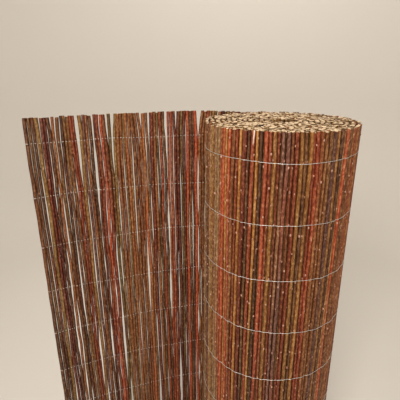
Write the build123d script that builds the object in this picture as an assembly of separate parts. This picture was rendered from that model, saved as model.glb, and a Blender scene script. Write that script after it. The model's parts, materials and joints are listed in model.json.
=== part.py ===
from build123d import *
from itertools import accumulate
import math
import os

# Willow screening mat, standing on end and partly unrolled: upright willow rods,
# bound side by side by rows of galvanised wire, wound into a roll with one length left open.
# Plan view: the roll turns about its own upright axis and the open length leaves its back,
# towards -X, bending gently forwards. All sizes in millimetres, angles in degrees.

# Mat
MAT_HEIGHT = 1000.0
OPEN_LENGTH = 446.0            # unrolled length, from the roll to the free edge
OPEN_STRAIGHT = 50.0           # straight run where the open length leaves the roll
OPEN_BEND_RADIUS = 1300.0      # gentle forward bend of the rest of it

# Roll
ROLL_RADIUS = 137.5            # outside of the thickest rod, where the open length leaves
CORE_RADIUS = 15.0             # hollow left in the middle
LEAVE_ANGLE = 99.0             # where the open length leaves, from +X towards the back
TURN_CLEARANCE = 1.0           # room between neighbouring turns, over the wire in between

# Willow rods
ROD_DIAMETER_MIN = 4.5
ROD_DIAMETER_MAX = 7.5
ROD_GAP_MIN = 0.2
ROD_GAP_MAX = 2.6
WEB_THICKNESS = 2.0            # where neighbouring rods run into each other
SLOT_WIDTH_MIN = 1.2           # gaps at least this wide let light through
OPEN_CLUMPS = (19, 7, 3, 5, 2, 9, 1, 4, 3, 1, 6, 1, 3, 4)  # rods drawn together, from the roll out
BRIDGE_HEIGHT = 14.0           # rods stay tied together this high at a wire row

# Scatter of rod thickness and gaps
THICKNESS_STEP = 0.6180339887  # share of the range from one rod to the next, wrapping round
GAP_STEP = 0.7548776662
GAP_SKEW = 4                   # higher leaves fewer wide gaps

# Binding wire
WIRE_DIAMETER = 1.0
WIRE_SPACING = 100.0
WIRE_TOP_MARGIN = 46.0         # from the rods' tops to the first row
WIRE_BOTTOM_MARGIN = 40.0      # at least this much rod below the last row
WIRE_CLEARANCE = 0.1           # between the wire and the thickest rods
WIRE_TUCK = 25.0               # wire ends stop this far short of the nip beside the roll

# Numbers of flat sides
TURN_CHORDS = 24               # straight pieces of wire in one turn of the roll
OPEN_CHORDS = 4                # straight pieces of wire along each face of the open length
EDGE_CHORDS = 3                # straight pieces of wire round the rod at the free edge
RODS_PER_INNER_RIDGE = 4       # hidden turns show one ridge for this many rods

# Worked out from the sizes above
ROD_RADIUS_MAX = ROD_DIAMETER_MAX / 2
ROD_DIAMETER_MEAN = (ROD_DIAMETER_MIN + ROD_DIAMETER_MAX) / 2
WEB_HALF = WEB_THICKNESS / 2
TURN_PITCH = ROD_DIAMETER_MAX + WIRE_DIAMETER + TURN_CLEARANCE
ROLL_LINE_RADIUS = ROLL_RADIUS - ROD_RADIUS_MAX
WIRE_OFFSET = ROD_RADIUS_MAX + WIRE_CLEARANCE
LEAVE = math.radians(LEAVE_ANGLE)
FULL_TURN = 2 * math.pi
DIAGONAL = math.sqrt(0.5)      # shoulder of an eight-sided rod, as a share of its radius


def spread(number, step):
    """Evenly scattered value between 0 and 1 for a rod's number."""
    return (number * step) % 1.0


def rod_radius(number):
    thickness = spread(number, THICKNESS_STEP)
    return (ROD_DIAMETER_MIN + (ROD_DIAMETER_MAX - ROD_DIAMETER_MIN) * thickness) / 2


def rod_gap(number):
    """Clear gap after a rod of the roll: mostly narrow, now and then wide."""
    width = spread(number, GAP_STEP) ** GAP_SKEW
    return ROD_GAP_MIN + (ROD_GAP_MAX - ROD_GAP_MIN) * width


def roll_point(turned, offset):
    """Plan point on the rolled length, wound clockwise and inwards from where it leaves."""
    radius = ROLL_LINE_RADIUS - TURN_PITCH * turned / FULL_TURN + offset
    angle = LEAVE - turned
    return (radius * math.cos(angle), radius * math.sin(angle))


def open_point(distance, offset):
    """Plan point on the open length, offset towards its outer face: straight, then one arc."""
    outward = (math.cos(LEAVE), math.sin(LEAVE))
    straight = min(distance, OPEN_STRAIGHT)
    bend = max(distance - OPEN_STRAIGHT, 0.0) / OPEN_BEND_RADIUS
    hub = ROLL_LINE_RADIUS - OPEN_BEND_RADIUS
    reach = OPEN_BEND_RADIUS + offset
    x = outward[0] * hub - outward[1] * straight + reach * math.cos(LEAVE + bend)
    y = outward[1] * hub + outward[0] * straight + reach * math.sin(LEAVE + bend)
    return (x, y)


def clump_gap(count):
    """Clear gap after so many rods of the open length: narrow, and wide where a clump ends."""
    ends = list(accumulate(OPEN_CLUMPS))
    if (count - 1) % ends[-1] + 1 not in ends:
        return ROD_GAP_MIN
    return SLOT_WIDTH_MIN + (ROD_GAP_MAX - SLOT_WIDTH_MIN) * spread(count, GAP_STEP)


def open_rods():
    """Centre distance, radius and following gap of each rod of the open length."""
    rods = []
    number = -1
    edge = ROD_GAP_MIN / 2
    while edge + 2 * rod_radius(number) <= OPEN_LENGTH:
        radius = rod_radius(number)
        gap = clump_gap(-number)
        rods.append((edge + radius, radius, gap))
        edge += 2 * radius + gap
        number -= 1
    return rods


def rolled_rods():
    """Turned angle and radius of each rod of the roll, ending at the hollow core."""
    rods = []
    number = 0
    turned = ROD_GAP_MIN / 2 / ROLL_LINE_RADIUS
    inner_line = CORE_RADIUS + ROD_RADIUS_MAX
    line_radius = ROLL_LINE_RADIUS
    while line_radius >= inner_line:
        radius = rod_radius(number)
        turned += radius / line_radius
        rods.append((turned, radius))
        turned += (radius + rod_gap(number)) / line_radius
        line_radius = ROLL_LINE_RADIUS - TURN_PITCH * turned / FULL_TURN
        number += 1
    return rods


def rod_side(centre, radius):
    """One side of an eight-sided rod, as (place along the mat, height off its middle)."""
    shoulder = radius * DIAGONAL
    return [
        (centre - radius, WEB_HALF),
        (centre - shoulder, shoulder),
        (centre, radius),
        (centre + shoulder, shoulder),
        (centre + radius, WEB_HALF),
    ]


def open_wall(rods):
    """Wall of ridged rods with a slot of light in every wide gap, between the wire rows."""
    profile = [point for centre, radius, gap in rods for point in rod_side(centre, radius)]
    outer = [open_point(place, height) for place, height in profile]
    inner = [open_point(place, -height) for place, height in reversed(profile)]
    return upright(outer + inner, 0.0, MAT_HEIGHT) - slots(rods)


def upright(outline, low, high):
    """Plan outline raised from one height to another."""
    return extrude(Pos(0, 0, low) * Polygon(*outline, align=None), amount=high - low, dir=(0, 0, 1))


def slots(rods):
    """Slots in the wide gaps, two wire spacings tall and stepped from one gap to the next."""
    wide = [rod for rod in rods[:-1] if rod[2] >= SLOT_WIDTH_MIN]
    cutters = []
    for place, (centre, radius, gap) in enumerate(wide):
        near = centre + radius
        far = near + gap
        corners = [
            open_point(near, -ROD_DIAMETER_MAX),
            open_point(far, -ROD_DIAMETER_MAX),
            open_point(far, ROD_DIAMETER_MAX),
            open_point(near, ROD_DIAMETER_MAX),
        ]
        ties = wire_rows()[place % 2::2]
        lows = [0.0] + [tie + BRIDGE_HEIGHT / 2 for tie in ties]
        highs = [tie - BRIDGE_HEIGHT / 2 for tie in ties] + [MAT_HEIGHT]
        for low, high in zip(lows, highs):
            cutters.append(upright(corners, low, high))
    return cutters


def rolled_wall(rods):
    """Spiral wall: eight-sided ridges on the turn that shows, plainer ridges further in."""
    shown = [rod for rod in rods if rod[0] < FULL_TURN]
    ridges = [turned for turned, radius in rods[len(shown)::RODS_PER_INNER_RIDGE]]
    back = ROD_DIAMETER_MEAN * DIAGONAL / 2
    outer = []
    inner = [roll_point(ROD_GAP_MIN / 2 / ROLL_LINE_RADIUS, -WEB_HALF)]
    for turned, radius in shown:
        line_radius = ROLL_LINE_RADIUS - TURN_PITCH * turned / FULL_TURN
        for place, height in rod_side(0.0, radius)[:-1]:
            outer.append(roll_point(turned + place / line_radius, height))
    for turned, radius in shown[::RODS_PER_INNER_RIDGE]:
        inner.append(roll_point(turned, -back))
    for start, end in zip(ridges, ridges[1:]):
        outer.append(roll_point(start, WEB_HALF))
        outer.append(roll_point((start + end) / 2, ROD_DIAMETER_MEAN / 2))
        inner.append(roll_point(start, -back))
    outer.append(roll_point(ridges[-1], WEB_HALF))
    inner.append(roll_point(ridges[-1], -WEB_HALF))
    return upright(outer + inner[::-1], 0.0, MAT_HEIGHT)


def wire_rows():
    """Heights of the wire rows, from the lowest up."""
    span = MAT_HEIGHT - WIRE_TOP_MARGIN - WIRE_BOTTOM_MARGIN
    count = int(span // WIRE_SPACING) + 1
    top = MAT_HEIGHT - WIRE_TOP_MARGIN
    return [top - WIRE_SPACING * row for row in reversed(range(count))]


def wire_side(rods, offset):
    """One edge of a wire strand: round the roll, along the outer face, back along the inner."""
    line = []
    start = FULL_TURN - WIRE_TUCK / ROLL_LINE_RADIUS
    step = start / TURN_CHORDS
    for chord in range(TURN_CHORDS):
        turned = start - step * chord
        line_radius = ROLL_LINE_RADIUS - TURN_PITCH * turned / FULL_TURN
        stand_off = (line_radius + offset) / math.cos(step / 2) - line_radius
        line.append(roll_point(turned, stand_off))
    edge_centre = rods[-1][0]
    stride = edge_centre / OPEN_CHORDS
    bulge = stride ** 2 / (8 * OPEN_BEND_RADIUS)
    for chord in range(OPEN_CHORDS + 1):
        line.append(open_point(stride * chord, offset + bulge))
    corner = offset / math.cos(math.pi / EDGE_CHORDS / 2)
    for chord in range(EDGE_CHORDS):
        swing = math.pi * (chord + 0.5) / EDGE_CHORDS
        line.append(open_point(edge_centre + corner * math.sin(swing), corner * math.cos(swing)))
    stride = (edge_centre - WIRE_TUCK) / OPEN_CHORDS
    for chord in range(OPEN_CHORDS + 1):
        line.append(open_point(edge_centre - stride * chord, -offset))
    return line


def wire_row(rods):
    """One doubled wire: a strand over the rods on each face, looped round the last rod."""
    near = wire_side(rods, WIRE_OFFSET)
    far = wire_side(rods, WIRE_OFFSET + WIRE_DIAMETER)
    return upright(near + far[::-1], -WIRE_DIAMETER / 2, WIRE_DIAMETER / 2)


def build():
    rods = open_rods()
    wire = wire_row(rods)
    nodes = {
        "open_rods": open_wall(rods),
        "rolled_rods": rolled_wall(rolled_rods()),
    }
    for row, height in enumerate(reversed(wire_rows()), start=1):
        nodes[f"wire_row_{row:02d}"] = Pos(0, 0, height) * wire
    return nodes


def main():
    """Writes each piece with the origin under the middle of the whole mat."""
    nodes = build()
    boxes = [piece.bounding_box() for piece in nodes.values()]
    middle_x = (min(box.min.X for box in boxes) + max(box.max.X for box in boxes)) / 2
    middle_y = (min(box.min.Y for box in boxes) + max(box.max.Y for box in boxes)) / 2
    os.makedirs("parts", exist_ok=True)
    for name, piece in nodes.items():
        export_step(Pos(-middle_x, -middle_y, 0) * piece, f"parts/{name}.step")


main()
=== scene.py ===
import json
import math

import bpy
import numpy as np
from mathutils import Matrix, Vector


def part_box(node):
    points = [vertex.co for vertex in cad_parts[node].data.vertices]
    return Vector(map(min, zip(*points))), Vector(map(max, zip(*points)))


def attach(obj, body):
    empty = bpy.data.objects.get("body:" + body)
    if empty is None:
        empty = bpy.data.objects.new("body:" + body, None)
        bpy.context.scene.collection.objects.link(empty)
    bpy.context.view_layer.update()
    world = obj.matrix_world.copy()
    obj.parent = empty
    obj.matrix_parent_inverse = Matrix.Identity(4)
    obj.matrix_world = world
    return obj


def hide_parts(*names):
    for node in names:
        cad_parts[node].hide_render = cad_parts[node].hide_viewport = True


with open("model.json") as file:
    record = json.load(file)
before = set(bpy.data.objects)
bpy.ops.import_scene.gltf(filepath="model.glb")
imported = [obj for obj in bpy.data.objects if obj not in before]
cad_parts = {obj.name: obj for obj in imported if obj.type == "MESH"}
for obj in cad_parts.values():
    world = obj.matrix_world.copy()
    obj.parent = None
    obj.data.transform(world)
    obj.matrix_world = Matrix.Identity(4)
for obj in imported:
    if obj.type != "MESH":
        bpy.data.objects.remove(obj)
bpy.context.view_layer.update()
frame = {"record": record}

# Willow screening mat, standing on end and partly unrolled. Shapes are worked out in
# millimetres, with the mat's plan repeated from its construction, and put into metres last.
# A rod's place is its distance along the mat from the line where the mat leaves the roll:
# positive out to the free edge, negative into the roll.

MM = 0.001
UP = np.array([0.0, 0.0, 1.0])
SEED = 31                      # for how the rods grow, lie and are coloured
ANY_PHASE = 6.3                # slow waves start anywhere in about one whole wave, in radians

# Mat and roll, as constructed
OPEN_CLUMPS = (19, 7, 3, 5, 2, 9, 1, 4, 3, 1, 6, 1, 3, 4)  # rods drawn together, from the roll out
OPEN_STRAIGHT = 50.0
OPEN_BEND_RADIUS = 1300.0
LEAVE = math.radians(99.0)     # where round the roll the mat leaves it
ROLL_RADIUS = 137.5
CORE_RADIUS = 15.0
TURN_CLEARANCE = 1.0
ROD_DIAMETER_MIN = 4.5
ROD_DIAMETER_MAX = 7.5
ROD_GAP_MIN = 0.2
ROD_GAP_MAX = 2.6
WIDE_GAP = 1.2                 # the least gap between two clumps of the open length
THICKNESS_STEP = 0.6180339887  # share of the range from one rod to the next, wrapping round
GAP_STEP = 0.7548776662
GAP_SKEW = 4                   # makes most gaps of the roll narrow
WIRE_DIAMETER = 1.0
WIRE_ROWS = 10

# Worked out from the construction and the frame
TURN_PITCH = ROD_DIAMETER_MAX + WIRE_DIAMETER + TURN_CLEARANCE
LINE_RADIUS = ROLL_RADIUS - ROD_DIAMETER_MAX / 2
CORE_BOX = np.array(frame["record"]["physics"]["openings"][0]["box_m"])
ROLL_AXIS = CORE_BOX.mean(axis=0)[:2] / MM
MAT_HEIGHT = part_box("rolled_rods")[1][2] / MM
WIRE_NODES = [f"wire_row_{row:02d}" for row in range(1, WIRE_ROWS + 1)]
WIRE_HEIGHTS = [(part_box(node)[0][2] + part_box(node)[1][2]) / 2 / MM for node in WIRE_NODES]
TOP_TIE = max(WIRE_HEIGHTS)
LEVELS = np.linspace(0.0, MAT_HEIGHT, 201)   # heights at which the gaps between rods are worked out

# How finely a rod is drawn: rings along it and sides round it
OPEN_RINGS = 78
ROLL_RINGS = 44
ROD_SIDES = 10
HIDDEN_RINGS = 3
HIDDEN_SIDES = 7

# How the rods grow
TAPER = 0.25                   # change of girth from one end of a rod to the other
LONG_WAVE = (600.0, 1100.0)    # lengths of the bends along a rod, and their sizes
SHORT_WAVE = (180.0, 330.0)
KINK_WAVE = (40.0, 90.0)
LONG_BEND = 0.5
SHORT_BEND = 0.22
KINK_BEND = 0.24
OUT_BEND = 0.6
BEND_WAVES = (LONG_WAVE, SHORT_WAVE, KINK_WAVE, LONG_WAVE)   # three bends sideways and one outwards
BEND_SIZES = np.array([[LONG_BEND], [SHORT_BEND], [KINK_BEND], [OUT_BEND]])

# How the rods lie
GAP_WAVES = ((140.0, 260.0), (320.0, 520.0), (700.0, 1100.0))  # lengths over which a gap opens and closes
OPEN_SWELL = 1.7               # how far it does, as a share of its width
ROLL_SWELL = 0.5
OPEN_EVEN = 0.55               # how far the rods of the open length are laid at even gaps
EVEN_REACH = 3                 # rods on each side that take up what a gap gains
STEADY_EDGE = 40.0             # next to the outer end of a length the rods keep their places
EDGE_LEAN = 0.012              # lean of the rod at the free edge, outwards to the top
OPEN_FILL = 0.21               # rods of the open length drawn thicker, to close its narrow gaps
ROLL_THIN = 0.91               # rods round the roll drawn thinner, to deepen the grooves between them
CORE_FILL = 1.22               # hidden rods drawn thicker, to fill the room that bent rods take
CLUMP_SHARE = 0.2              # how many rods begin a new clump at the top of the roll
OPEN_PULL = (0.09, 0.22)       # how far the rods of a clump draw together at their free tops
ROLL_PULL = (0.02, 0.07)
TOP_UNEVEN = 2.5               # how much shorter than the rest a rod may be, at its top and foot
FOOT_UNEVEN = 2.0
OPEN_RISE = 1.5                # rods of the open length stand a little higher, this far from the roll
RISE_RUN = 130.0
ROLL_FALL = 3.5                # and those at the back of the roll have slipped a little down
CUT_SLANT = 0.3                # the steepest slope of a cut
MOST_RODS = 1500               # more rods than the roll can take

# Bud scars
BUD_SPACING = (24.0, 66.0)
ROLL_BUD_SPACING = (33.6, 92.4)
BUDS_PER_ROD = 22
BUD_HALF_WIDTH = 1.35
BUD_HALF_HEIGHT = 2.1
BUD_DEPTH = 1.0
BUD_SPREAD = (0.7, 1.2)        # from the smallest to the largest
OPEN_BUD_SCALE = 0.75
ROLL_BUD_SCALE = 1.1
BUD_SEAT = 0.93                # where a scar sits, as a share of the rod's radius
BUD_MARGIN = 12.0              # no scar this near to the top
BUD_SIDES = 6
BUD_RINGS = np.radians([-10, 40])   # angles of its two rings over its base

# Binding wire
WIRE_DRAWN = 0.7               # one strand of the doubled wire
WIRE_SIDES = 6
WIRE_STEPS = 10                # points from one rod to the next
LOOP_STEPS = 9                 # points of the loop round the last rod, with both its ends
GRIP = 1.7                     # how much shorter its grip is than half the way to the next rod
OUTER_GRIP = 0.04              # how far a strand follows the rods, from taut to close
INNER_GRIP = 1.0
INNER_DROP = 0.6               # the inner strand lies lower by this
INNER_START = 25.0             # and begins this far from the roll
WIRE_DRIFTS = ((1.5, 540.0), (0.7, 160.0))   # sizes and lengths of a wire's rise and fall

# Bark on a rod
FADE_WAVE = (180.0, 600.0)     # lengths over which one bark fades into another
FADE_MEAN = 0.1                # share of the other bark, and its swing
FADE_SWING = 0.3
TONE_SPREAD = 0.2              # how far rods of one bark differ in tone
TINT_RANGE = (0.008, 0.9)      # the deepest and palest that bark gets, as linear values
OPEN_FLANK_SHADE = 1.6               # painted shade: how far the bark colour is darkened and deepened on the flanks of a rod, into the grooves between rods, as a power against 1 on its faces; the next line is the same for the roll
ROLL_FLANK_SHADE = 1.25
PEELED_RODS = (74,)            # rods at the front of the roll whose bark is torn off at the top
PEELED_TURN = np.pi / 5        # where round the rod it is, and the cosine of half its width
PEELED_EDGE = 0.95


def srgb(code):
    """Linear red, green and blue of a hex colour."""
    value = np.array([int(code[i:i + 2], 16) for i in (1, 3, 5)]) / 255
    return np.where(value <= 0.04045, value / 12.92, ((value + 0.055) / 1.055) ** 2.4)


# Bark colours of the willow, with how often each is met: orange, red, dark red, chestnut, olive,
# honey, plum, umber and grey
BARKS = {
    "o": ("#894328", 0.08),
    "r": ("#753921", 0.12),
    "d": ("#5B2A18", 0.09),
    "c": ("#744928", 0.28),
    "l": ("#6E522D", 0.13),
    "h": ("#8A5E30", 0.09),
    "p": ("#644235", 0.10),
    "u": ("#52331E", 0.08),
    "g": ("#7E6142", 0.03),
}
BARK_LETTERS = list(BARKS)
BARK_COLOURS = np.array([srgb(code) for code, share in BARKS.values()])
BARK_SHARES = np.array([share for code, share in BARKS.values()])
HIDDEN_BARK = "l"
PEELED_WOOD = srgb("#E9DCC6")

# Mixes of bark: one for each clump of the open length, and one for each run of rods round the
# front of the roll, from its right
OPEN_MIXES = ("clrd", "pdcuol", "cr", "rclu", "c", "lc", "l", "ro", "puc", "l", "druc", "c", "dcu", "uul")
ROLL_RUNS = ((10, "crco"), (4, "puh"), (8, "rchcp"), (6, "hcrp"), (6, "orhcu"), (4, "chdr"), (4, "ohco"),
             (4, "cghl"), (4, "cpg"), (4, "lg"), (4, "lp"))
ROLL_RUNS_START = 42


def sized(low_high, share):
    """A share from 0 to 1 spread over a range."""
    return low_high[0] + (low_high[1] - low_high[0]) * share


# Lie of the mat and of its rods


def mat_plan(along):
    """Plan of the mat's middle line and its heading. Positive distances run a straight and then
    an arc away from the leaving line; negative ones wind an even spiral inwards, whose angle
    solves length = radius * angle - pitch * angle squared / (4 pi)."""
    along = np.asarray(along, dtype=float)
    run = np.clip(along, 0, OPEN_STRAIGHT)
    bend = np.clip(along - OPEN_STRAIGHT, 0, None) / OPEN_BEND_RADIUS
    wound = np.clip(-along, 0, None)
    turned = (LINE_RADIUS - np.sqrt(LINE_RADIUS ** 2 - wound * TURN_PITCH / np.pi)) * 2 * np.pi / TURN_PITCH
    heading = LEAVE + bend - turned
    reach = np.where(along > 0, OPEN_BEND_RADIUS, LINE_RADIUS - TURN_PITCH * turned / (2 * np.pi))
    hub = np.where(along > 0, LINE_RADIUS - OPEN_BEND_RADIUS, 0.0)
    x = ROLL_AXIS[0] + hub * math.cos(LEAVE) - run * math.sin(LEAVE) + reach * np.cos(heading)
    y = ROLL_AXIS[1] + hub * math.sin(LEAVE) + run * math.cos(LEAVE) + reach * np.sin(heading)
    return np.stack([x, y], axis=-1), heading


def facing(heading):
    """Unit vectors out of the mat and along it, towards the free edge."""
    level = np.zeros_like(heading)
    outward = np.stack([np.cos(heading), np.sin(heading), level], axis=-1)
    sideways = np.stack([-np.sin(heading), np.cos(heading), level], axis=-1)
    return outward, sideways


def lay_rods(numbers, gap):
    """Distances and radii of numbered rods laid side by side, each with its gap after it."""
    thickness = (numbers * THICKNESS_STEP) % 1.0
    radius = sized((ROD_DIAMETER_MIN, ROD_DIAMETER_MAX), thickness) / 2
    far_side = ROD_GAP_MIN / 2 + np.cumsum(2 * radius + gap) - gap
    return far_side - radius, radius


def even_places(along, radius):
    """Places of the same rods laid at even gaps, from the first to the last."""
    way = np.sign(along[-1] - along[0])
    steps = radius[1:] + radius[:-1]
    slack = (abs(along[-1] - along[0]) - steps.sum()) / len(steps)
    return along[0] + way * np.concatenate([[0.0], np.cumsum(steps + slack)])


def clump_moves(rng, along, starts, pull):
    """Sideways moves that draw the free tops into clumps: each rod moves to its clump's middle by
    a share of its distance from it."""
    clump = np.cumsum(starts)
    size = np.maximum(np.bincount(clump), 1)
    middle = np.bincount(clump, along) / size
    strength = sized(pull, rng.random(len(size)))
    return -strength[clump] * (along - middle[clump])


def gap_moves(rng, along, gap, swell):
    """Sideways moves of the rods at each level as the gaps between them open and close: a gap's
    width changes by a sum of zigzags times that width, down to nothing, the rods after it move on by
    as much, and the mean move of the rods around is taken off each."""
    count = len(along)
    wave = np.zeros((count, len(LEVELS)))
    for lengths in GAP_WAVES:
        length = sized(lengths, rng.random((count, 1)))
        wave += np.abs((LEVELS / length + rng.random((count, 1))) % 1 * 4 - 2) - 1
    change = gap[:, None] * np.clip(swell * wave, -1, None)
    moves = np.sign(along[-1] - along[0]) * (np.cumsum(change, axis=0) - change)
    number = np.arange(count)
    around = np.abs(number[:, None] - number) <= EVEN_REACH
    moves -= around @ moves / around.sum(axis=1, keepdims=True)
    return moves * np.clip((along.max() - along) / STEADY_EDGE, 0, 1)[:, None]


def rod_bends(rng, along, gap, swell, starts, pull):
    """Random bends of each rod: three waves sideways, one outwards, a taper, the moves of the gaps
    beside it, its clump at the top and, towards the free edge, a lean. Rods are counted on the
    last axis of each array."""
    count = len(along)
    return {
        "length": np.stack([sized(wave, rng.random(count)) for wave in BEND_WAVES]),
        "phase": rng.random((len(BEND_WAVES), count)) * 2 * np.pi,
        "size": rng.normal(size=(len(BEND_WAVES), count)) * BEND_SIZES,
        "taper": TAPER * rng.uniform(-1, 1, count),
        "moves": gap_moves(rng, along, gap, swell).T,
        "clump": clump_moves(rng, along, starts, pull),
        "lean": EDGE_LEAN * np.clip(along, 0, None) / np.abs(along).max(),
    }


def sway(bends, height):
    """Sideways and outward offset of each rod's middle at some heights: sums of sines, the moves
    of the gaps read between two levels, clumps above the top wire and the lean about mid-height."""
    angle = 2 * np.pi * height / bends["length"][..., None] + bends["phase"][..., None]
    waves = bends["size"][..., None] * np.sin(angle)
    step = height / MAT_HEIGHT * (len(LEVELS) - 1)
    lower = np.clip(step.astype(int), 0, len(LEVELS) - 2)
    moves = bends["moves"].T
    low, high = (np.take_along_axis(moves, level, axis=1) for level in (lower, lower + 1))
    free = np.clip((height - TOP_TIE) / (MAT_HEIGHT - TOP_TIE), 0, 1)
    side = waves[:3].sum(axis=0) + low + (high - low) * (step - lower)
    side = side + bends["clump"][:, None] * free + bends["lean"][:, None] * (height - MAT_HEIGHT / 2)
    return side, waves[3]


def girth(rods, height):
    """Radius of each rod at some heights: an even taper from one end to the other."""
    return rods["radius"][:, None] * (1 + rods["bends"]["taper"][:, None] * (height / MAT_HEIGHT - 0.5))


def rod_middles(rods, height):
    """Points on each rod's middle line at some heights, its place in plan moved by its sway, with
    the directions out of the mat and along it there."""
    side, out = sway(rods["bends"], height)
    plan, heading = mat_plan(rods["along"])
    outward, sideways = facing(heading)
    foot = np.concatenate([plan, np.zeros((len(plan), 1))], axis=1)
    middle = foot[:, None] + UP * height[..., None]
    middle = middle + sideways[:, None] * side[..., None] + outward[:, None] * out[..., None]
    return middle, outward, sideways


# Rods, as a dictionary of their places, radii, bends, barks, tops and the turns of their cuts


def pick_barks(rng, count, start, runs):
    """A bark for each rod, at random by how often each is met, or from the mix of its run of rods."""
    barks = rng.choice(len(BARKS), count, p=BARK_SHARES)
    for size, mix in runs:
        barks[start:start + size] = rng.choice([BARK_LETTERS.index(letter) for letter in mix], size)
        start += size
    return barks


def open_length(rng):
    """Rods of the open length, numbered outwards from the roll with a wide gap after each clump,
    then moved a part of the way to even gaps. Their tops rise from the roll to the open."""
    number = np.arange(sum(OPEN_CLUMPS)) + 1
    clump_end = np.isin(number, np.cumsum(OPEN_CLUMPS))
    gap = np.where(clump_end, sized((WIDE_GAP, ROD_GAP_MAX), (number * GAP_STEP) % 1.0), ROD_GAP_MIN)
    along, radius = lay_rods(-number, gap)
    along += OPEN_EVEN * (even_places(along, radius) - along)
    gap += OPEN_EVEN * (gap.mean() - gap)
    return {
        "along": along,
        "radius": radius + OPEN_FILL,
        "barks": pick_barks(rng, len(along), 0, zip(OPEN_CLUMPS, OPEN_MIXES)),
        "bends": rod_bends(rng, along, gap, OPEN_SWELL, np.roll(clump_end, 1), OPEN_PULL),
        "tops": MAT_HEIGHT + OPEN_RISE - (OPEN_RISE + ROLL_FALL) * np.clip(1 - along / RISE_RUN, 0, 1),
        "cuts": np.zeros(len(along)),
    }


def wound_length(turns):
    """Length of the mat's middle line over so many turns of the roll: that of a spiral whose radius
    falls by the pitch at each turn."""
    return LINE_RADIUS * 2 * np.pi * turns - TURN_PITCH * np.pi * turns ** 2


def rolled_lengths(rng):
    """Rods of the roll's outer turn and those of its hidden turns, numbered inwards from the leaving
    line and laid at even gaps. Their tops fall evenly from the front of the roll to its back."""
    number = np.arange(MOST_RODS)
    gap = sized((ROD_GAP_MIN, ROD_GAP_MAX), ((number * GAP_STEP) % 1.0) ** GAP_SKEW)
    wound, radius = lay_rods(number, gap)
    outer = wound < wound_length(1)
    turns = (LINE_RADIUS - CORE_RADIUS - ROD_DIAMETER_MAX / 2) / TURN_PITCH
    hidden = ~outer & (wound < wound_length(turns))

    def lot(chosen, share, barks):
        """Chosen rods, drawn at a share of their thickness."""
        along = even_places(-wound[chosen], radius[chosen])
        starts = rng.random(len(along)) < CLUMP_SHARE
        depth = (mat_plan(along)[0][:, 1] - ROLL_AXIS[1]) / ROLL_RADIUS
        return {
            "along": along,
            "radius": radius[chosen] * share,
            "barks": barks,
            "bends": rod_bends(rng, along, np.full(len(along), gap.mean()), ROLL_SWELL, starts, ROLL_PULL),
            "tops": MAT_HEIGHT - ROLL_FALL * (1 + depth) / 2,
            "cuts": 2 * np.pi * rng.random(len(along)),
        }

    outer_lot = lot(outer, ROLL_THIN, pick_barks(rng, outer.sum(), ROLL_RUNS_START, ROLL_RUNS))
    hidden_lot = lot(hidden, CORE_FILL, np.full(hidden.sum(), BARK_LETTERS.index(HIDDEN_BARK)))
    return outer_lot, hidden_lot


# Surfaces


def bark_tints(rng, barks, height):
    """Colour of each rod at each height: its bark fading into another along a slow wave."""
    count = len(height)
    first = BARK_COLOURS[barks]
    second = BARK_COLOURS[rng.choice(len(BARKS), count, p=BARK_SHARES)]
    length = sized(FADE_WAVE, rng.random((count, 1)))
    wave = np.sin(2 * np.pi * height / length + ANY_PHASE * rng.random((count, 1)))
    share = np.clip(FADE_MEAN + FADE_SWING * wave, 0, None)[..., None]
    tone = 1 + TONE_SPREAD * rng.normal(size=(count, 1, 1))
    return np.clip((first[:, None] * (1 - share) + second[:, None] * share) * tone, *TINT_RANGE)


def rod_faces(count, rings, sides):
    """Faces of so many rods, each with its rings from the foot up and then the middle and rim of its
    top cut and of its foot cut: quads from ring to ring, and triangles that fan out over each cut."""
    start = (np.arange(count) * (rings * sides + 2 * (sides + 1)))[:, None, None]
    ring = np.arange(rings - 1)[:, None] * sides
    spot = np.arange(sides)
    after = (spot + 1) % sides
    quads = np.stack([ring + spot, ring + after, ring + sides + after, ring + sides + spot], axis=-1)
    hub_top = rings * sides
    hub_foot = hub_top + sides + 1
    upper = np.stack([np.full(sides, hub_top), hub_top + 1 + spot, hub_top + 1 + after], axis=-1)
    lower = np.stack([np.full(sides, hub_foot), hub_foot + 1 + after, hub_foot + 1 + spot], axis=-1)
    caps = np.concatenate([upper, lower])
    return (quads.reshape(1, -1, 4) + start).reshape(-1, 4), (caps + start).reshape(-1, 3)


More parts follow.
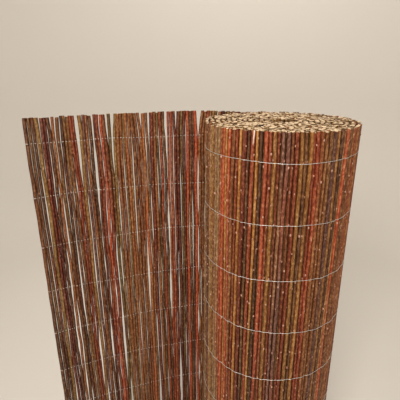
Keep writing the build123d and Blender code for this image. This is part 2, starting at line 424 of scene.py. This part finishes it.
def rod_tubes(rng, rods, rings, sides, flank_shade, peeled=()):
    """Tapered bent tubes with flat cut ends: rings of points about each rod's middle line, the end
    rings tilted by the slant of the cut, in the bark's colour raised to a power towards the flanks,
    which paints shade into the grooves between rods.
    Returns points, quads, cuts, tints and rim shares, which are 0 in the middle of a cut."""
    count = len(rods["along"])
    top = rods["tops"][:, None] - TOP_UNEVEN * rng.random((count, 1)) ** 2
    foot = FOOT_UNEVEN * rng.random((count, 1)) ** 2
    height = foot + (top - foot) * np.linspace(0, 1, rings)
    middle, outward, sideways = rod_middles(rods, height)
    wide = girth(rods, height)
    turn = np.arange(sides) * 2 * np.pi / sides
    spoke = np.cos(turn)[:, None] * outward[:, None] + np.sin(turn)[:, None] * sideways[:, None]
    points = middle[:, :, None] + wide[..., None, None] * spoke[:, None]
    slant = CUT_SLANT * rng.random((count, 1)) * (1 + np.cos(turn - rods["cuts"][:, None]))
    points[:, -1, :, 2] -= slant * wide[:, -1:]
    points[:, 0, :, 2] += slant * wide[:, :1]
    # painted shade: the bark colour is drawn darker and deeper towards the flanks of each rod, where the
    # grooves between rods lie
    flank_shade_power = sized((flank_shade, 1.0), np.abs(np.cos(turn)))
    tints = bark_tints(rng, rods["barks"], height)[:, :, None] ** flank_shade_power[:, None]
    torn = np.isin(np.arange(count), peeled)[:, None] & (np.cos(turn - PEELED_TURN) > PEELED_EDGE)
    tints[:, -1][torn] = PEELED_WOOD
    ends = []
    for ring in (-1, 0):
        hub = points[:, ring].mean(axis=1, keepdims=True)
        ends.append(np.concatenate([hub, points[:, ring]], axis=1))
    points = np.concatenate([points.reshape(count, -1, 3), *ends], axis=1)
    bare = np.ones((count, 2 * (sides + 1), 3))
    tints = np.concatenate([tints.reshape(count, -1, 3), bare], axis=1)
    cut_rim = np.concatenate([[0.0], np.ones(sides)])
    rim = np.tile(np.concatenate([np.ones(rings * sides), cut_rim, cut_rim]), count)
    return points.reshape(-1, 3), *rod_faces(count, rings, sides), tints.reshape(-1, 3), rim


def bud_scars(rng, rods, spacing, sweep, scale):
    """Small domes on the rods: two rings and the tip of a half sphere, stretched up the rod and set where
    random steps up each rod fall, at random sides. Returns points, quads and tips."""
    count = len(rods["along"])
    steps = sized(spacing, rng.random((count, BUDS_PER_ROD)))
    height = np.cumsum(steps, axis=1) - spacing[0] * rng.random((count, 1))
    turn = sweep * rng.uniform(-1, 1, (count, BUDS_PER_ROD))
    middle, outward, sideways = rod_middles(rods, height)
    normal = np.cos(turn)[..., None] * outward[:, None] + np.sin(turn)[..., None] * sideways[:, None]
    seat = middle + normal * (girth(rods, height) * BUD_SEAT)[..., None]
    kept = height < MAT_HEIGHT - BUD_MARGIN
    seat, normal = seat[kept], normal[kept]
    tangent = np.cross(UP, normal)
    around = np.arange(BUD_SIDES) * 2 * np.pi / BUD_SIDES
    wide = np.append(np.cos(BUD_RINGS)[:, None] * np.cos(around), 0)[:, None]
    tall = np.append(np.cos(BUD_RINGS)[:, None] * np.sin(around), 0)[:, None]
    deep = np.append(np.repeat(np.sin(BUD_RINGS), BUD_SIDES), 1)[:, None]
    big = scale * sized(BUD_SPREAD, rng.random(len(seat)))[:, None, None]
    points = seat[:, None] + big * (
        tangent[:, None] * (wide * BUD_HALF_WIDTH)
        + UP * (tall * BUD_HALF_HEIGHT)
        + normal[:, None] * (deep * BUD_DEPTH)
    )
    start = (np.arange(len(seat)) * len(deep))[:, None, None]
    spot = np.arange(BUD_SIDES)
    after = (spot + 1) % BUD_SIDES
    quads = np.stack([spot, after, BUD_SIDES + after, BUD_SIDES + spot], axis=-1)
    tips = np.stack([BUD_SIDES + spot, BUD_SIDES + after, np.full(BUD_SIDES, 2 * BUD_SIDES)], axis=-1)
    return points.reshape(-1, 3), (quads + start).reshape(-1, 4), (tips + start).reshape(-1, 3)


def wire_path(rng, rods, height):
    """Middle line of one doubled wire: over the rods on the outer face, dipping in between them,
    half round the rod at the free edge and back along the inner face. The outer offset is a mix of
    a taut line from rod to rod and of half ellipses that grip each rod and dip to the mat's middle
    line between two rods; the inner one is those half ellipses, sunk into the bark towards the
    sides of each rod. Slow sines lift and drop it."""
    level = np.full((len(rods["along"]), 1), height)
    side, out = sway(rods["bends"], level)
    place = rods["along"] + side[:, 0]
    order = np.argsort(place)
    place = place[order]
    wide = girth(rods, level)[order, 0]
    out = out[order, 0]
    half = WIRE_DRAWN / 2
    step = np.arange((len(place) - 1) * WIRE_STEPS) / WIRE_STEPS
    first = step.astype(int)
    share = step - first
    where = place[first] * (1 - share) + place[first + 1] * share

    def strand(face, grip):
        """Offset from the mat's middle line of the strand on one face."""
        reach = face * out + wide + half
        taut = reach[first] * (1 - share) + reach[first + 1] * share
        nearer = np.where(share < 0.5, first, first + 1)
        apart = np.clip(GRIP * 2 * np.minimum(share, 1 - share), 0, 1)
        arcs = face * out[nearer] + (wide[nearer] + half) * np.sqrt(1 - apart ** 2)
        return face * (taut * (1 - grip) + arcs * grip)

    drift = sum(
        size * np.sin(2 * np.pi * where / length + ANY_PHASE * rng.random())
        for size, length in WIRE_DRIFTS
    )
    outer = np.stack([where, strand(1.0, OUTER_GRIP), height + drift], axis=1)
    inner = np.stack([where, strand(-1.0, INNER_GRIP), height + drift - INNER_DROP], axis=1)
    inner = inner[where > INNER_START][::-1]
    bow = np.linspace(0, np.pi, LOOP_STEPS)[1:-1]
    loop_reach = wide[-1] + half
    loop = np.stack([
        place[-1] + loop_reach * np.sin(bow),
        out[-1] + loop_reach * np.cos(bow),
        np.linspace(outer[-1, 2], inner[0, 2], len(bow)),
    ], axis=1)
    route = np.concatenate([outer, loop, inner])
    plan, heading = mat_plan(route[:, 0])
    outward, sideways = facing(heading)
    return np.concatenate([plan, route[:, 2:]], axis=1) + outward * route[:, 1:2]


def tube(path, radius, sides):
    """Round tube along a nearly level path: rings about it in the plane of its side and up. Returns
    points, quads and the face at each end."""
    run = np.gradient(path, axis=0)
    run /= np.linalg.norm(run, axis=1, keepdims=True)
    across = np.cross(run, UP)
    across /= np.linalg.norm(across, axis=1, keepdims=True)
    lift = np.cross(across, run)
    turn = np.arange(sides) * 2 * np.pi / sides
    ring = np.cos(turn)[:, None] * lift[:, None] + np.sin(turn)[:, None] * across[:, None]
    points = path[:, None] + radius * ring
    row = np.arange(len(path) - 1)[:, None] * sides
    spot = np.arange(sides)
    after = (spot + 1) % sides
    quads = np.stack([row + spot, row + after, row + sides + after, row + sides + spot], axis=-1)
    first = spot[None, ::-1]
    last = spot[None] + (len(path) - 1) * sides
    return points.reshape(-1, 3), quads.reshape(-1, 4), first, last


def new_piece(name, points, face_groups, finishes, values=None):
    """Mesh piece from arrays: points in millimetres, groups of (faces, finish number, smooth) and
    named values of the points, which are colours or single numbers."""
    mesh = bpy.data.meshes.new(name)
    corners = np.concatenate([faces.reshape(-1) for faces, finish, smooth in face_groups])
    totals = np.concatenate([np.full(len(faces), faces.shape[1]) for faces, finish, smooth in face_groups])
    slots = np.concatenate([np.full(len(faces), finish) for faces, finish, smooth in face_groups])
    rounded = np.concatenate([np.full(len(faces), smooth) for faces, finish, smooth in face_groups])
    mesh.vertices.add(len(points))
    mesh.vertices.foreach_set("co", (points * MM).astype(np.float32).reshape(-1))
    mesh.loops.add(len(corners))
    mesh.loops.foreach_set("vertex_index", corners.astype(np.int32))
    mesh.polygons.add(len(totals))
    mesh.polygons.foreach_set("loop_start", (np.cumsum(totals) - totals).astype(np.int32))
    mesh.polygons.foreach_set("material_index", slots.astype(np.int32))
    mesh.polygons.foreach_set("use_smooth", rounded.astype(bool))
    for finish in finishes:
        mesh.materials.append(finish)
    for key, value in (values or {}).items():
        if value.ndim == 2:
            layer = mesh.attributes.new(key, "FLOAT_COLOR", "POINT")
            full = np.concatenate([value, np.ones((len(value), 1))], axis=1)
            layer.data.foreach_set("color", full.astype(np.float32).reshape(-1))
        else:
            layer = mesh.attributes.new(key, "FLOAT", "POINT")
            layer.data.foreach_set("value", value.astype(np.float32))
    mesh.update()
    mesh.validate()
    piece = bpy.data.objects.new(name, mesh)
    bpy.context.scene.collection.objects.link(piece)
    return piece


# Finishes


def add(tree, kind, settings=None, stops=(), **links):
    """Adds a node with its settings, its colour stops, the two outermost first, and its input links."""
    node = tree.nodes.new(kind)
    for key, value in (settings or {}).items():
        if key in node.inputs:
            node.inputs[key].default_value = value
        else:
            setattr(node, key, value)
    for number, (spot, code) in enumerate(stops):
        ramp = node.color_ramp.elements
        stop = ramp[number] if number < 2 else ramp.new(spot)
        stop.position = spot
        stop.color = (*srgb(code), 1)
    for key, source in links.items():
        tree.links.new(source, node.inputs[key.replace("_", " ")])
    return node


def new_finish(name, settings):
    """New material, its node tree and its shader, with settings of the shader."""
    finish = bpy.data.materials.new(name)
    finish.use_nodes = True
    shader = finish.node_tree.nodes["Principled BSDF"]
    for key, value in settings.items():
        shader.inputs[key].default_value = value
    return finish, finish.node_tree, shader


def grain(tree, across, along, detail):
    """Noise drawn out along the rods: cells so wide and so tall, in millimetres."""
    place = add(tree, "ShaderNodeTexCoord")
    scale = (1 / (across * MM), 1 / (across * MM), 1 / (along * MM))
    stretch = add(tree, "ShaderNodeMapping", {"Scale": scale}, Vector=place.outputs["Object"])
    settings = {"Scale": 1.0, "Detail": detail, "Roughness": 0.6}
    return add(tree, "ShaderNodeTexNoise", settings, Vector=stretch.outputs[0])


def willow_bark():
    """Unpeeled willow: smooth thin bark with a dull shine, streaked along the rod, deeper in colour
    where it is thicker. The streaks are drawn coarser than real ones, so that they show."""
    finish, tree, shader = new_finish("willow_bark", {"Roughness": 0.48, "Specular IOR Level": 0.32})
    # the bark attribute carries the bark colour with painted shade on the flanks of the rods
    tint = add(tree, "ShaderNodeAttribute", {"attribute_name": "bark"})
    streak = grain(tree, across=1.6, along=60.0, detail=3.0)
    blotch = grain(tree, across=3.5, along=6.0, detail=4.0)
    thin = add(tree, "ShaderNodeMapRange",
               {"From Min": 0.3, "From Max": 0.7, "To Min": 1.15, "To Max": 0.85},
               Value=streak.outputs["Fac"])
    thick = add(tree, "ShaderNodeMapRange",
                {"From Min": 0.32, "From Max": 0.68, "To Min": 1.4, "To Max": 0.7},
                Value=blotch.outputs["Fac"])
    depth = add(tree, "ShaderNodeMath", {"operation": "MULTIPLY"})
    tree.links.new(thin.outputs[0], depth.inputs[0])
    tree.links.new(thick.outputs[0], depth.inputs[1])
    toned = add(tree, "ShaderNodeGamma", Color=tint.outputs["Color"], Gamma=depth.outputs[0])
    tree.links.new(toned.outputs[0], shader.inputs["Base Color"])
    fine = grain(tree, across=0.8, along=14.0, detail=2.0)
    bump = add(tree, "ShaderNodeBump", {"Strength": 0.35, "Distance": 0.4 * MM}, Height=fine.outputs["Fac"])
    tree.links.new(bump.outputs[0], shader.inputs["Normal"])
    return finish


def cut_wood():
    """Sawn willow end: pale straw wood, a brown pith and a thin dark rim of bark, and some ends
    weathered darker than others."""
    finish, tree, shader = new_finish("cut_wood", {"Roughness": 0.8})
    rim = add(tree, "ShaderNodeAttribute", {"attribute_name": "rim"})
    wood = add(tree, "ShaderNodeValToRGB",
               stops=((0.0, "#A37C50"), (1.0, "#8A6642"), (0.2, "#DCC09A"), (0.85, "#DFC6A2")),
               Fac=rim.outputs["Fac"])
    mottle = grain(tree, across=5.0, along=5.0, detail=2.0)
    tone = add(tree, "ShaderNodeMapRange",
               {"From Min": 0.3, "From Max": 0.7, "To Min": 0.62, "To Max": 1.1},
               Value=mottle.outputs["Fac"])
    toned = add(tree, "ShaderNodeVectorMath", {"operation": "SCALE"},
                Vector=wood.outputs["Color"], Scale=tone.outputs[0])
    tree.links.new(toned.outputs[0], shader.inputs["Base Color"])
    return finish


def bud_scar():
    """Healed bud scar: corky, paler than the bark."""
    finish, tree, shader = new_finish("bud_scar", {"Roughness": 0.7})
    mottle = grain(tree, across=6.0, along=6.0, detail=1.0)
    cork = add(tree, "ShaderNodeValToRGB", stops=((0.35, "#784C3A"), (0.65, "#B48A76")),
               Fac=mottle.outputs["Fac"])
    tree.links.new(cork.outputs["Color"], shader.inputs["Base Color"])
    return finish


def galvanised_wire():
    """Hot-dipped steel wire: bright grey zinc with duller patches."""
    finish, tree, shader = new_finish("galvanised_wire", {"Metallic": 0.6, "Roughness": 0.5})
    patch = grain(tree, across=7.0, along=7.0, detail=2.0)
    zinc = add(tree, "ShaderNodeValToRGB", stops=((0.3, "#C4C1BB"), (0.7, "#EEECE8")),
               Fac=patch.outputs["Fac"])
    tree.links.new(zinc.outputs["Color"], shader.inputs["Base Color"])
    return finish


def backdrop_paint():
    """Plain pale studio backdrop, matt."""
    settings = {"Base Color": (*srgb("#D9D4CC"), 1), "Roughness": 0.9}
    return new_finish("backdrop_paint", settings)[0]


# Rod pieces

rod_finishes = [willow_bark(), cut_wood(), bud_scar()]


def rod_piece(name, node, bundles, scars):
    """One piece from bundles of rods and their bud scars, in place of a node of the construction."""
    points, quads, caps, tints, rims = [], [], [], [], []
    base = 0
    for body in bundles:
        points.append(body[0])
        quads.append(body[1] + base)
        caps.append(body[2] + base)
        tints.append(body[3])
        rims.append(body[4])
        base += len(body[0])
    points.append(scars[0])
    tints.append(np.ones((len(scars[0]), 3)))
    rims.append(np.ones(len(scars[0])))
    groups = [
        (np.concatenate(quads), 0, True),
        (np.concatenate(caps), 1, False),
        (scars[1] + base, 2, True),
        (scars[2] + base, 2, True),
    ]
    values = {"bark": np.concatenate(tints), "rim": np.concatenate(rims)}
    piece = new_piece(name, np.concatenate(points), groups, rod_finishes, values)
    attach(piece, "root")
    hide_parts(node)


rng = np.random.default_rng(SEED)
open_rods = open_length(rng)
rod_piece(
    "willow_rods_open", "open_rods",
    [rod_tubes(rng, open_rods, OPEN_RINGS, ROD_SIDES, OPEN_FLANK_SHADE)],
    bud_scars(rng, open_rods, BUD_SPACING, np.pi, OPEN_BUD_SCALE),
)
outer_rods, hidden_rods = rolled_lengths(rng)
rod_piece(
    "willow_rods_rolled", "rolled_rods",
    [
        rod_tubes(rng, outer_rods, ROLL_RINGS, ROD_SIDES, ROLL_FLANK_SHADE, PEELED_RODS),
        rod_tubes(rng, hidden_rods, HIDDEN_RINGS, HIDDEN_SIDES, ROLL_FLANK_SHADE),
    ],
    bud_scars(rng, outer_rods, ROLL_BUD_SPACING, np.pi / 2, ROLL_BUD_SCALE),
)

# Binding wires, over the rods of the open length and of the roll's outer turn

zinc = galvanised_wire()
bound_rods = {key: np.concatenate([open_rods[key], outer_rods[key]]) for key in ("along", "radius")}
bound_rods["bends"] = {
    key: np.concatenate([bends, outer_rods["bends"][key]], axis=-1)
    for key, bends in open_rods["bends"].items()
}
for node, height in zip(WIRE_NODES, WIRE_HEIGHTS):
    path = wire_path(rng, bound_rods, height)
    points, quads, first, last = tube(path, WIRE_DRAWN / 2, WIRE_SIDES)
    wire = new_piece(node.replace("wire_row", "binding_wire"), points,
                     [(quads, 0, True), (first, 0, False), (last, 0, False)], [zinc])
    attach(wire, "root")
    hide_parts(node)

# Stage

STAGE_FLAT = 1700.0
STAGE_CURVE = 800.0
STAGE_WALL = 3000.0
STAGE_BEND_STEPS = 17
STAGE_SIDES = 96


def stage_bowl():
    """Round seamless backdrop: a flat floor, a quarter-round rise and an upright wall, turned."""
    bend = np.linspace(0, np.pi / 2, STAGE_BEND_STEPS)
    rise = STAGE_FLAT + STAGE_CURVE * np.sin(bend)
    reach = np.concatenate([[0.0, STAGE_FLAT / 2], rise, [STAGE_FLAT + STAGE_CURVE]])
    level = np.concatenate([[0.0, 0.0], STAGE_CURVE * (1 - np.cos(bend)), [STAGE_WALL]])
    turn = np.arange(STAGE_SIDES) * 2 * np.pi / STAGE_SIDES
    points = np.stack([
        reach[:, None] * np.cos(turn),
        reach[:, None] * np.sin(turn),
        np.broadcast_to(level[:, None], (len(reach), STAGE_SIDES)),
    ], axis=-1)
    ring = np.arange(len(reach) - 1)[:, None] * STAGE_SIDES
    next_ring = ring + STAGE_SIDES
    spot = np.arange(STAGE_SIDES)
    after = (spot + 1) % STAGE_SIDES
    quads = np.stack([ring + spot, next_ring + spot, next_ring + after, ring + after], axis=-1)
    return points.reshape(-1, 3), quads.reshape(-1, 4)


floor_points, floor_quads = stage_bowl()
backdrop = new_piece("backdrop", floor_points, [(floor_quads, 0, True)], [backdrop_paint()])

# Lights, in metres and watts


def soft_light(name, place, target, size, power, colour):
    """Square area lamp turned to face a point."""
    data = bpy.data.lights.new(name, "AREA")
    data.size = size
    data.energy = power
    data.color = srgb(colour)
    lamp = bpy.data.objects.new(name, data)
    lamp.location = place
    back = np.array(place) - np.array(target)
    tilt = math.atan2(math.hypot(back[0], back[1]), back[2])
    lamp.rotation_euler = (tilt, 0, math.atan2(back[0], -back[1]))
    lamp.visible_camera = False
    bpy.context.scene.collection.objects.link(lamp)


WARM_WHITE = "#FFF8F0"
WASH_WHITE = "#FFFAF4"
soft_light("key", place=(-0.3, -1.35, 1.7), target=(0.05, 0, 0.75), size=0.5, power=38, colour=WARM_WHITE)
soft_light("back_fill", place=(-0.5, 1.5, 1.5), target=(0, 0, 0.6), size=1.2, power=4, colour=WARM_WHITE)
soft_light("ceiling", place=(0.1, 0.1, 2.6), target=(0.1, 0, 0), size=1.6, power=12, colour=WARM_WHITE)
soft_light("wall_wash", place=(0.2, 1.1, 2.4), target=(0.2, 2.5, 1.2), size=0.8, power=16.5,
           colour=WASH_WHITE)

world = bpy.data.worlds.new("studio")
world.use_nodes = True
sky = world.node_tree.nodes["Background"]
sky.inputs["Color"].default_value = (*srgb("#FFF3E6"), 1)
sky.inputs["Strength"].default_value = 0.14
bpy.context.scene.world = world

# Camera, from the photograph's frame: distances from the roll's axis and the mat's top

IMAGE_SIDE = 400.0
FOCAL_PIXELS = 405.0
CAMERA_LEFT = 138.0
CAMERA_BEFORE = 709.5
CAMERA_ABOVE = 98.5
CAMERA_DIP = math.radians(19.26)
data = bpy.data.cameras.new("camera")
data.sensor_width = 36.0
data.lens = data.sensor_width * FOCAL_PIXELS / IMAGE_SIDE
data.clip_start = 0.05
camera = bpy.data.objects.new("camera", data)
eye = np.array([ROLL_AXIS[0] - CAMERA_LEFT, ROLL_AXIS[1] - CAMERA_BEFORE, MAT_HEIGHT + CAMERA_ABOVE])
camera.location = eye * MM
camera.rotation_euler = (math.pi / 2 - CAMERA_DIP, 0, 0)
bpy.context.scene.collection.objects.link(camera)
bpy.context.scene.camera = camera
bpy.context.scene.view_settings.view_transform = "Standard"
